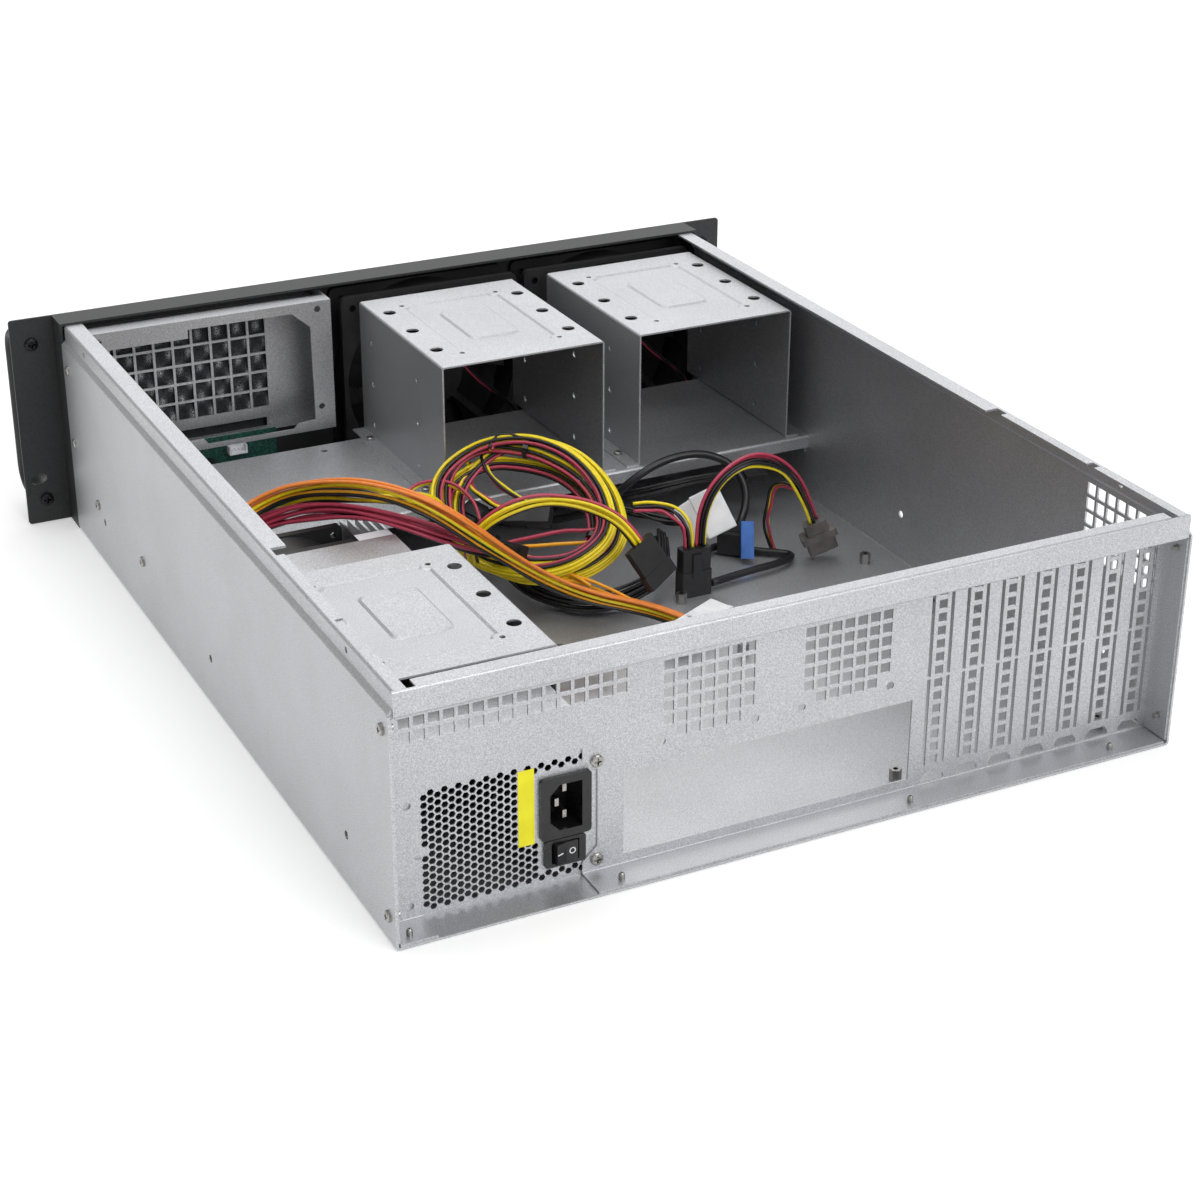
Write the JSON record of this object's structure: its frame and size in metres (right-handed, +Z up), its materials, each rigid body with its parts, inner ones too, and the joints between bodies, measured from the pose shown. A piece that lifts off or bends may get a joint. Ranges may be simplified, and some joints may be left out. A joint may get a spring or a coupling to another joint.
{
  "type": "empty rackmount server case",
  "caption": "Open rackmount case: folded steel tray with recessed slotted rear, drive cages on a shelf, black eared front panel with handles, rear power supply and loose leads.",
  "frame": {"origin": "middle of the case's box in plan, on the surface that it stands on", "axes": "+X to the right seen from the front panel, +Y towards the rear, +Z up"},
  "size_m": [0.4826, 0.5745, 0.132],
  "materials": {
    "galvanised": "galvanised, fine spangle, satin",
    "screw_steel": "nickel plated",
    "panel_black": "fine textured black powder coat",
    "black_plastic": "moulded, matt",
    "black_gloss": "moulded, smooth",
    "foam": "open foam",
    "board_green": "lacquered",
    "white_plastic": "moulded",
    "clear_lens": "translucent",
    "brass_plate": "bright",
    "wire_mixed": "smooth insulation",
    "wire_black": "smooth insulation",
    "label_yellow": "printed film, blank",
    "aluminium_fins": "extruded",
    "plug_blue": "moulded"
  },
  "bodies": {
    "case": {"chassis_tray": "galvanised", "wall_screws": "screw_steel", "rear_pan": "galvanised", "ledge_screws": "screw_steel", "drive_shelf": "galvanised", "cage_screws": "screw_steel", "drive_cage_1": "galvanised", "drive_cage_2": "galvanised", "psu_bracket": "galvanised", "front_panel": "panel_black", "handle_left": "panel_black", "handle_right": "panel_black", "handle_screws": "panel_black", "psu_frame": "galvanised", "front_grille": "galvanised", "filter_foam": "foam", "front_board": "board_green", "board_posts": "brass_plate", "usb_sockets": "screw_steel", "switch_bodies": "black_plastic", "status_lights": "clear_lens", "board_header": "white_plastic", "fan_frame_1": "black_plastic", "fan_frame_2": "black_plastic", "psu_base": "galvanised", "psu_cover": "galvanised", "psu_screws": "screw_steel", "mains_inlet": "black_gloss", "inlet_pins": "brass_plate", "rocker_housing": "black_gloss", "psu_sticker": "label_yellow", "psu_fan_frame": "black_plastic", "psu_fins": "aluminium_fins", "standoffs": "brass_plate", "lead_bushing": "black_plastic", "lead_coil": "wire_mixed", "supply_lead_1": "wire_mixed", "atx_plug": "white_plastic", "supply_lead_2": "wire_mixed", "drive_plug": "black_plastic", "supply_lead_3": "wire_mixed", "drive_lead": "wire_mixed", "sata_plug": "black_plastic", "molex_plug": "black_plastic", "molex_lead": "wire_mixed", "arch_lead": "wire_mixed", "header_plug": "screw_steel", "usb_lead": "wire_black", "usb_plug": "black_plastic", "panel_lead": "wire_black", "pin_plugs": "black_plastic", "fan_lead_1": "wire_mixed", "fan_lead_2": "wire_mixed", "fan_plugs": "white_plastic"},
    "front_rotor_1": {"fan_rotor_1": "black_plastic"},
    "front_rotor_2": {"fan_rotor_2": "black_plastic"},
    "supply_rotor": {"psu_fan_rotor": "black_plastic"},
    "mains_rocker": {"rocker": "black_gloss"},
    "power_cap": {"power_button": "black_gloss"},
    "reset_cap": {"reset_button": "black_gloss"}
  },
  "joints": [
    {"name": "front_fan_1_spin", "type": "hinge", "parent": "case", "child": "front_rotor_1", "pos_m": [-0.02, -0.23525, 0.064], "axis": [0, 1, 0], "continuous": true},
    {"name": "front_fan_2_spin", "type": "hinge", "parent": "case", "child": "front_rotor_2", "pos_m": [-0.1455, -0.23525, 0.064], "axis": [0, 1, 0], "continuous": true},
    {"name": "supply_fan_spin", "type": "hinge", "parent": "case", "child": "supply_rotor", "pos_m": [0.1582, -0.00145, 0.0362], "axis": [0, 1, 0], "continuous": true},
    {"name": "rocker_tip", "type": "hinge", "parent": "case", "child": "mains_rocker", "pos_m": [0.1226, 0.26855, 0.0176], "axis": [0, 0, 1], "range_deg": [-18, 0]},
    {"name": "power_press", "type": "slide", "parent": "case", "child": "power_cap", "axis": [0, 1, 0], "range_m": [0, 0.001], "stiffness_N_per_m": 400},
    {"name": "reset_press", "type": "slide", "parent": "case", "child": "reset_cap", "axis": [0, 1, 0], "range_m": [0, 0.001], "stiffness_N_per_m": 300}
  ]
}
